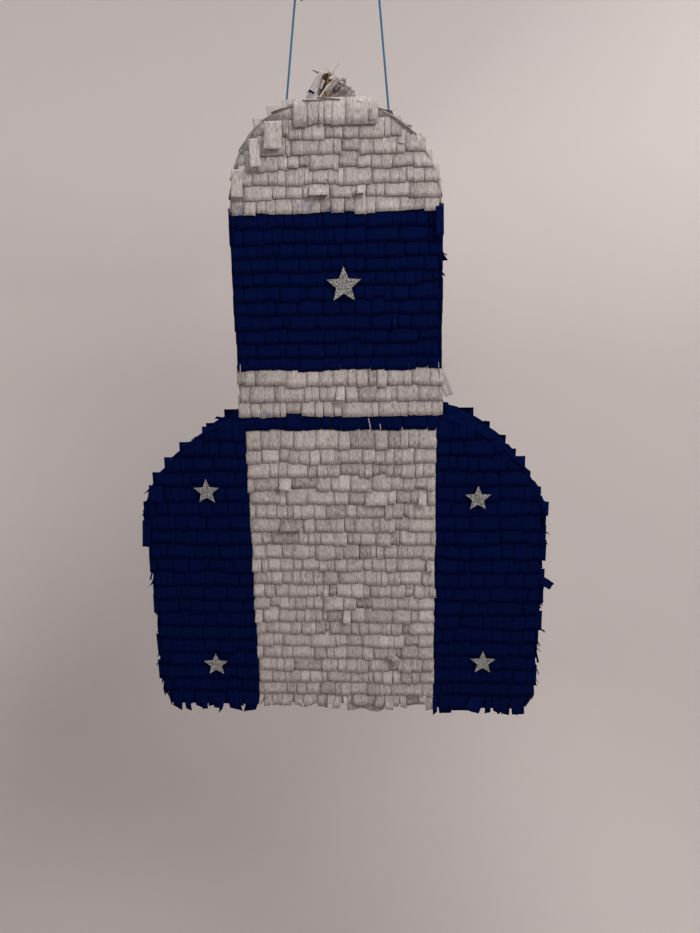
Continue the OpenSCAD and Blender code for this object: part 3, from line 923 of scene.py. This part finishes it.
def glitter_finish():
    """Silver glitter: flakes under a millimetre across, each at its own angle, some gold, in a dull clear
    glue. Each flake is painted brighter or darker and some are painted white, as painted glints and painted
    shade."""
    made, start, shader = finish("glitter silver", Specular_IOR_Level=0.6)
    place = start.node("TexCoord", out=3)
    flake = start.node("TexVoronoi", {"feature": "F1"}, out=1, Vector=place, Scale=1250.0)
    fine = start.node("TexVoronoi", {"feature": "F1"}, out=0, Vector=place, Scale=1250.0)
    parts = [start.node("SeparateColor", out=i, Color=flake) for i in range(3)]
    bright = parts[0] ** 1.3
    warm = parts[1].mix((0.92, 0.94, 1.0), (0.72, 0.65, 0.53))
    sparkle = parts[2].clear(0.82, 0.90)
    rim = start.node("Attribute", {"attribute_name": "rim"}, out=2)
    # rim lightens the colour on the star's bevel: a painted highlight along its edge.
    shade = (bright.clear(0.0, 0.75) + rim * 0.55).mix((0.19, 0.175, 0.15), warm)
    (bright * 0.35 * (1 - sparkle)).into(shader.inputs["Metallic"])
    # sparkle paints some flakes near white: painted glints.
    colour = sparkle.mix(shade, (0.95, 0.96, 1.0))
    coat(shader, colour, 0.50 - parts[2] * 0.30, 1.0, 0.0005, parts[2] + fine * 900.0)
    return made


def star_shell(r):
    """Rings of a closed star: its outline is straight between ten corners, on circles of r and r times
    STAR_INNER, and the rings run out over the face, round a bevel, down the side, and back in
    underneath."""
    corner = np.arange(11)
    t = math.pi / 2 + math.pi / 5 * corner
    reach = np.where(corner % 2 == 0, r, r * STAR_INNER)
    corners = np.stack([reach * np.cos(t), reach * np.sin(t)], 1)
    share = np.linspace(0, 10, STAR_POINTS, endpoint=False)
    edge = np.stack([np.interp(share, corner, corners[:, 0]), np.interp(share, corner, corners[:, 1])], 1)
    size = np.array([0.04, 0.35, 0.65, 0.90, 0.965, 1.0, 1.0, 0.96, 0.5, 0.04])
    high = np.array([STAR_T, STAR_T, STAR_T, STAR_T, STAR_T - 0.0001, STAR_T - STAR_BEVEL, 0.0002, 0, 0, 0])
    bump = 0.00008 * np.sin(7 * np.arange(STAR_POINTS)) * (high > 0.001)[:, None]
    return size[:, None, None] * edge[None], high[:, None] + bump


glitter = glitter_finish()
for n, (x, z, r) in STAR_PLACES.items():
    face, high = star_shell(r)
    back_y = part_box(n)[1].y
    points = np.stack([x + face[..., 0], back_y - high, z + face[..., 1]], -1)
    rings = len(high)
    first_ring = np.arange(STAR_POINTS)
    caps = [first_ring[::-1], first_ring + (rings - 1) * STAR_POINTS]
    faces = [quads(rings, STAR_POINTS, wrap=True)[:, ::-1], caps]
    # The bevel's rings get rim values that the glitter paints lighter, a painted highlight.
    rim = np.repeat([0, 0, 0, 0.2, 0.8, 1, 0.6, 0, 0, 0], STAR_POINTS)
    make(f"{n}_sticker", points, faces, glitter, "pinata", [n], smooth=False,
         values={"rim": rim})

# ---- Filling flap ----
# Three sides of a hand-sized flap were cut through the card, and the flap stands open on its crease.
# Both its faces keep crepe that tore away with it: a bowed sheet outside, crumpled strips inside.
OPEN = math.radians(72)
CARD_T = 0.0035
LINER = 0.0004
FLAP_STEPS = 57
FLAP_ACROSS = 9
TUFT_STRIPS = 26
TUFT_STEPS = 12
TUFT_ACROSS = 6
# Strips with a low tone are painted darker, as painted shade among the crumpled crepe.
TORN_GREY = [
    (-23, -29, 579, 23, 27, 10, 4, 6, 20, 0.5),
    (-13, -30, 591, 29, 7.5, 5, 4, 6, 25, -0.5),
    (-10, -27, 602, -54, 9, 2.5, 0.8, -14, 30, -3),
    (-16, -30, 578, 26, 26, 1.5, 1.5, 28, 10, 2),
    (-12, -28, 578, 27, 25, 5, 6, 18, 35, -2.5),
    (-8, -24, 579, 30, 25, 5, 4, 20, -30, -3),
    (-8, -30, 587, 44, 13, 4, 4, -10, -35, -1.5),
    (-1, -26, 591, 57, 12, 4, 1, 18, 30, -3),
    (0, -22, 596, 63, 10, 2.5, 0.9, 10, -20, -3.5),
    (-16, -27, 579, 38, 18, 4, 2.5, 10, 40, -3.5),
    (-4, -30, 599, 71, 6, 3, 2.5, 0, 20, 1),
]
TORN_THIN = [
    (-5, -20, 579, 31, 18, 8, 5, 10, 15, 0),
    (4, -25, 598, 111, 8, 2, 0.8, 20, 20, 0),
    (-2, -26, 603, 35, 10, 1.5, 1.5, 6, 10, 0),
    (-24, -32, 587, 59, 5.5, 4, 2.5, 0, 10, 0),
]
TORN_NAVY = [
    (-22, -33, 590, 123, 5.5, 2, 1.5, 0, 10, 2),
]


def on_flap(along, height, out):
    """A place on the flap: along is Y, height is how far it is from the crease, and out is off its outer
    face."""
    return np.stack([crease_x + height * math.cos(OPEN) - out * math.sin(OPEN), along + 0 * height,
                     top_of_box + height * math.sin(OPEN) + out * math.cos(OPEN)], -1)


def flap_card():
    """Two flat liners and a core between them, whose depth is a sine of the distance from the crease."""
    a = np.linspace(0.0004, FLAP_REACH, FLAP_STEPS)[:, None]
    y = np.linspace(-flap_half, flap_half, FLAP_ACROSS)[None]
    fray = 0.0004 * np.sin(900 * y) * (a > FLAP_REACH - 0.0001)
    core = -CARD_T / 2 + (CARD_T / 2 - LINER) * np.sin(2 * math.pi * a / FLUTE)
    layers = [np.full(a.shape, -LINER / 2), core, np.full(a.shape, LINER / 2 - CARD_T)]
    return np.array([on_flap(y + 0 * a, a + fray, d + 0 * y) for d in layers])


points = flap_card()
faces = quads(FLAP_STEPS, FLAP_ACROSS, copies=len(points))[:, ::-1]
card = make("flap_corrugated_card", points, [faces], card_brown, "flap", ["fill_flap"],
            smooth=False)
thin(card, LINER)


def outer_sheet():
    """The crepe on the flap's outer face: it bows off the card by a sine up its length, is glued at its
    top edge, and past that curls over away from the card."""
    a = np.linspace(0, 1, 26)[:, None]
    y = np.linspace(-0.9, 0.72, 22)[None] * flap_half
    bow = 0.0090 * np.sin(math.pi * np.clip(a / 0.78, 0, 1)) ** 0.8 * (0.75 + 0.25 * np.sin(160 * y))
    curl = np.clip((a - 0.78) / 0.22, 0, 1)
    height = 0.004 + (FLAP_REACH - 0.004) * np.clip(a / 0.78, 0, 1) + 0.0022 * np.sin(math.pi * 0.55 * curl)
    out = 0.0007 + bow + 0.0085 * curl ** 1.3 * (0.55 + 0.45 * np.cos(220 * y + 1.0))
    crinkle = 0.0004 * np.sin(1900 * y + 6 * a) + 0.0003 * np.sin(700 * y - 9 * a)
    points = on_flap(y + 0.0015 * np.sin(9 * a), height + 0 * y, out + crinkle)
    return points, np.stack([y + 0 * a, 0.03 * a + 0 * y], -1)


def inner_tuft():
    """Crumpled strips of crepe off the flap's inner face. Each starts at its own place near the card and
    runs out and up, its angle wandering by two sines of its length; its width narrows, twists and is
    creased across."""
    v = np.linspace(0, 1, TUFT_STEPS)[None, :, None]
    u = np.linspace(-0.5, 0.5, TUFT_ACROSS)[None, None, :]

    def pick(low, high):
        return dice.uniform(low, high, TUFT_STRIPS)[:, None, None]

    length = pick(0.010, 0.0215)
    heading = pick(0.35, 1.15) + 0.5 * pick(-1, 1) * np.sin(3.1 * v + pick(0, 6))
    heading = heading + 0.25 * pick(-1, 1) * np.sin(9 * v)
    step = length / (TUFT_STEPS - 1)
    height = pick(0.001, 0.010) + np.cumsum(np.sin(heading) * step, 1)
    deep = CARD_T + 0.0006 + pick(0, 0.0025) + np.cumsum(np.cos(heading) * step, 1)
    wide = pick(0.006, 0.013) * (1 - 0.35 * v)
    twist = pick(0.5, 1.4) * np.sign(pick(-1, 1)) * (0.6 + 0.4 * v)
    y = pick(-0.85, 0.55) * flap_half + pick(-0.006, 0.006) * v ** 2 + u * wide * np.cos(twist)
    y = np.clip(y, 0.0015 - flap_half, flap_half - 0.0015)
    crease = pick(0.0002, 0.0011) * np.sin(u * pick(9, 22) + pick(0, 6)) * (0.3 + v)
    across_fold = u * wide * np.sin(twist) + crease
    height = np.clip(height - across_fold * np.cos(heading), 0.0008, FLAP_REACH - 0.0008)
    deep = np.maximum(deep + across_fold * np.sin(heading), CARD_T + 0.0004)
    return on_flap(y, height, -deep), np.stack([u * wide + pick(0, 3), v * length + 0 * u], -1)


points, uv = outer_sheet()
faces = quads(*points.shape[:2])[:, ::-1]
bowed = make("flap_bowed_crepe", points, [faces], grey_crepe, "flap", ["fill_flap_crepe"],
             values={"tone": np.full(points.shape[:2], 1.0)}, uv=uv)
thin(bowed)
points, uv = inner_tuft()
faces = quads(TUFT_STEPS, TUFT_ACROSS, copies=TUFT_STRIPS)
# The crumpled strips inside are painted darker than the rest of the grey crepe: painted shade inside the
# crumple.
tones = np.repeat(dice.normal(-2.2, 1.5, TUFT_STRIPS), TUFT_STEPS * TUFT_ACROSS)
tuft = make("flap_crumpled_crepe", points, [faces], grey_crepe, "flap", ["fill_flap_crumple"],
            values={"tone": tones}, uv=uv)
thin(tuft)

torn = [ribbons("flap_torn_strips", TORN_GREY, grey_crepe, "flap", ["fill_flap_crumple"]),
        ribbons("flap_thin_strips", TORN_THIN, thin_crepe, "flap", ["fill_flap_crumple"]),
        ribbons("flap_navy_shred", TORN_NAVY, navy_crepe, "flap", ["fill_flap_crepe"])]

# Each piece of crepe on the flap gets a mesh of its own
tuple(on_flap(0.0, 0.0, 0.0))
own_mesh(bowed)
tuple(on_flap(0.0, 0.0, -CARD_T))
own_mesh(tuft)
for piece in torn:
    tuple(on_flap(0.0, 0.0, 0.0034))
    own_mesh(piece)

# ---- Studio ----
# A pale round cove: a floor well below the pinata that curves up into a wall all round it. Soft
# light comes from the front and the right, and a weaker one from behind.
FLOOR_Z = -1.50
COVE_R = 2.4
COVE_BEND = 0.9


def stage_cove():
    """A surface of revolution: flat out to the bend, a quarter circle, and a wall. Its colour is painted
    paler with height, as painted light from above, and low down it has a darker middle, a painted shadow of
    the pinata, that pales to both sides."""
    bend = np.linspace(0, math.pi / 2, 14)
    r = np.concatenate([[0.001, 1.0], COVE_R - COVE_BEND + COVE_BEND * np.sin(bend), [COVE_R]])
    z = np.concatenate([[0, 0], COVE_BEND * (1 - np.cos(bend)), [3.4]]) + FLOOR_Z
    t = np.linspace(0, 2 * math.pi, 64, endpoint=False)[None]
    points = np.stack([r[:, None] * np.cos(t), r[:, None] * np.sin(t), z[:, None] + 0 * t], -1)
    mesh = bpy.data.meshes.new("studio_cove")
    faces = quads(len(r), 64, wrap=True)[:, ::-1].tolist() + [list(range(64))]
    mesh.from_pydata(points.reshape(-1, 3).tolist(), [], faces)
    mesh.polygons.foreach_set("use_smooth", np.ones(len(mesh.polygons), bool))
    made, start, shader = finish("studio pale plaster", Roughness=0.9)
    place = start.node("TexCoord", out=3)
    soft = start.noise(place, 1.2, 2.0)
    # Paler with height: painted light falling from above.
    high = start.node("SeparateXYZ", Vector=place, out=2).clear(FLOOR_Z - 0.5, 0.6)
    # Low down, darker near x = -0.55 m and paler to both sides: a painted shadow of the pinata on the wall.
    aside = start.maths("ABSOLUTE", start.node("SeparateXYZ", Vector=place) + 0.55).clear(0.3, 1.2)
    low_painted_shadow = aside.mix((0.325, 0.292, 0.286), (0.52, 0.478, 0.465))
    (high + soft * 0.1).mix(low_painted_shadow, (0.80, 0.748, 0.730)).into(shader.inputs["Base Color"])
    mesh.materials.append(made)
    cove = bpy.data.objects.new("studio_cove", mesh)
    scene.collection.objects.link(cove)


def soft_light(name, place, aim, size, watts, colour):
    lamp = bpy.data.objects.new(name, bpy.data.lights.new(name, "AREA"))
    lamp.data.shape = "DISK"
    lamp.data.size = size
    lamp.data.energy = watts
    lamp.data.color = colour
    lamp.location = place
    lamp.rotation_mode = "QUATERNION"
    lamp.rotation_quaternion = (Vector(aim) - Vector(place)).to_track_quat("-Z", "Y")
    scene.collection.objects.link(lamp)


stage_cove()
middle = (0, 0, -0.36)
soft_light("key", (1.0, -1.25, 0.85), (0, 0, -0.25), 0.7, 24, (1.0, 0.975, 0.95))
soft_light("fill", (-1.5, -1.4, 0.3), middle, 1.4, 5, (0.93, 0.95, 1.0))
soft_light("top", (0.1, -0.45, 1.1), middle, 0.9, 10, (1.0, 0.98, 0.96))
soft_light("back", (-0.9, 1.6, 0.7), middle, 1.2, 15, (1.0, 0.98, 0.95))
soft_light("wall", (1.5, 0.8, 0.8), (1.2, 2.3, -0.4), 1.2, 7, (1.0, 0.98, 0.96))
scene.world = bpy.data.worlds.new("soft sky")
scene.world.use_nodes = True
sky = scene.world.node_tree.nodes["Background"]
sky.inputs["Color"].default_value = (0.92, 0.94, 1.0, 1)
sky.inputs["Strength"].default_value = 0.25
